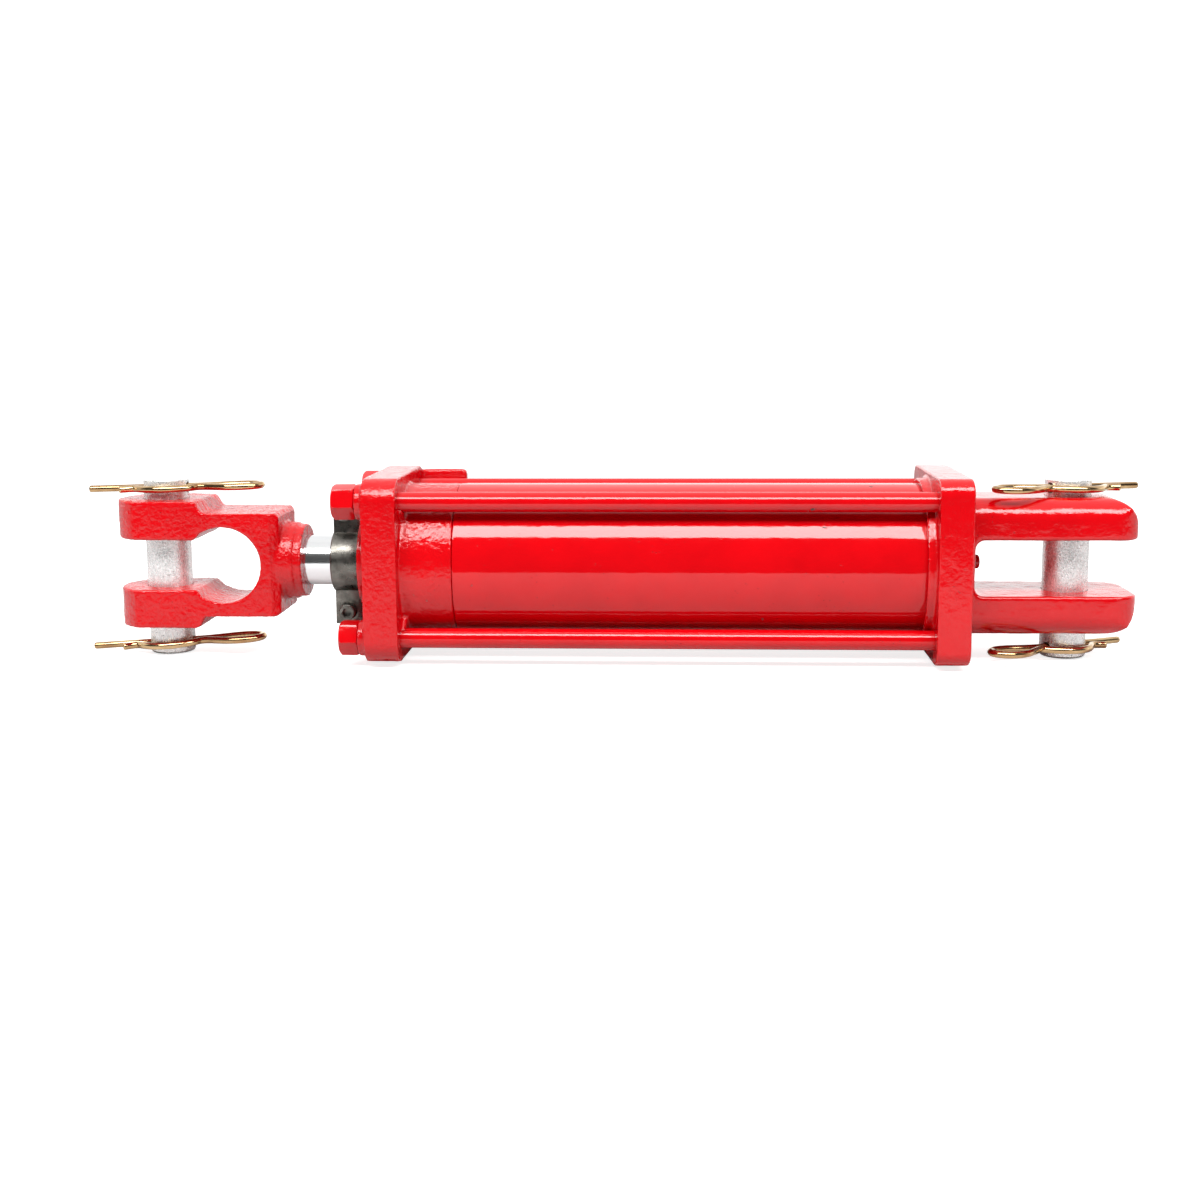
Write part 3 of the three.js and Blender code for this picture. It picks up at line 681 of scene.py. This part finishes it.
# ------------------------------------------------------------------ floor, light and camera
floor = obj_of("floor", [(-2.5, -0.37, -0.0006), (2.5, -0.37, -0.0006), (2.5, 2.5, -0.0006), (-2.5, 2.5, -0.0006)], [(0, 1, 2, 3)])
if floor.data.polygons[0].normal.z < 0:
    floor.data.flip_normals()
fm = bpy.data.materials.new("pale_floor")
fm.use_nodes = True
nt = fm.node_tree
pb = nt.nodes["Principled BSDF"]
pb.inputs["Base Color"].default_value = (0.58, 0.58, 0.58, 1)
pb.inputs["Roughness"].default_value = 0.9
pb.inputs["Specular IOR Level"].default_value = 0.0
pb.inputs["Emission Color"].default_value = (1, 1, 1, 1)
seen = nt.nodes.new("ShaderNodeLightPath")
gain = nt.nodes.new("ShaderNodeMath")
gain.operation = "MULTIPLY"
gain.inputs[1].default_value = 0.80
nt.links.new(seen.outputs["Is Camera Ray"], gain.inputs[0])
nt.links.new(gain.outputs[0], pb.inputs["Emission Strength"])
floor.data.materials.append(fm)

world = bpy.data.worlds.new("studio")
bpy.context.scene.world = world
world.use_nodes = True
wt = world.node_tree
wt.nodes.clear()
wo = wt.nodes.new("ShaderNodeOutputWorld")
bg = wt.nodes.new("ShaderNodeBackground")
tc = wt.nodes.new("ShaderNodeTexCoord")
sep = wt.nodes.new("ShaderNodeSeparateXYZ")
wt.links.new(tc.outputs["Generated"], sep.inputs[0])


def wmath(op, a, b=None, clamp=False):
    n = wt.nodes.new("ShaderNodeMath")
    n.operation = op
    n.use_clamp = clamp
    for i, v in enumerate((a, b)):
        if isinstance(v, bpy.types.NodeSocket):
            wt.links.new(v, n.inputs[i])
        elif v is not None:
            n.inputs[i].default_value = v
    return n.outputs[0]


# dark in front below the softbox, white overhead and behind
behind = wmath("MULTIPLY", wmath("ADD", sep.outputs["Y"], 0.02), 5.0, clamp=True)
low = wmath("MULTIPLY", wmath("SUBTRACT", 0.38, sep.outputs["Z"]), 6.0, clamp=True)
overhead = wmath("MULTIPLY", wmath("SUBTRACT", sep.outputs["Z"], 0.78), 10.0, clamp=True)
level = wmath("MULTIPLY", behind, wmath("ADD", 1.0, wmath("MULTIPLY", low, 0.5)))
level = wmath("MAXIMUM", level, wmath("MULTIPLY", overhead, 0.95))
level = wmath("ADD", level, 0.08)
lp = wt.nodes.new("ShaderNodeLightPath")
level = wmath("MAXIMUM", level, wmath("MULTIPLY", lp.outputs["Is Camera Ray"], 1.1))
wt.links.new(level, bg.inputs["Strength"])
bg.inputs["Color"].default_value = (1, 1, 1, 1)
wt.links.new(bg.outputs[0], wo.inputs["Surface"])


def softbox(name, where, look, sx, sy, radiance):
    data = bpy.data.lights.new(name, "AREA")
    data.shape = "RECTANGLE"
    data.size, data.size_y = sx, sy
    data.energy = radiance * pi * sx * sy
    ob = bpy.data.objects.new(name, data)
    ob.location = where
    ob.rotation_euler = (Vector(look) - Vector(where)).to_track_quat("-Z", "Y").to_euler()
    bpy.context.scene.collection.objects.link(ob)
    return ob


softbox("softbox_front", (OX, -0.578, OZ + 0.69), (OX, 0, OZ), 2.0, 0.27, 14.0)

F_PX, DIST, ELEV, AZIM, ROLL = 1587.0, 0.9113, 8.6, 2.9, 0.29
target = Vector((OX - 0.0064, 0, OZ))
e, psi = math.radians(ELEV), math.radians(AZIM)
back = Vector((math.sin(psi) * math.cos(e), -math.cos(psi) * math.cos(e), math.sin(e)))
cam_data = bpy.data.cameras.new("camera")
cam = bpy.data.objects.new("camera", cam_data)
bpy.context.scene.collection.objects.link(cam)
cam.location = target + back * DIST
rot = (-back).to_track_quat("-Z", "Y").to_matrix().to_4x4()
cam.rotation_euler = (rot @ Matrix.Rotation(math.radians(-ROLL), 4, "Z")).to_euler()
cam_data.sensor_width = 36
cam_data.lens = F_PX / 1200 * 36
cam_data.shift_y = -39.5 / 1200
cam_data.clip_start = 0.01
cam_data.dof.use_dof = False
bpy.context.scene.camera = cam
bpy.context.scene.view_settings.view_transform = "Standard"
bpy.context.scene.view_settings.look = "None"
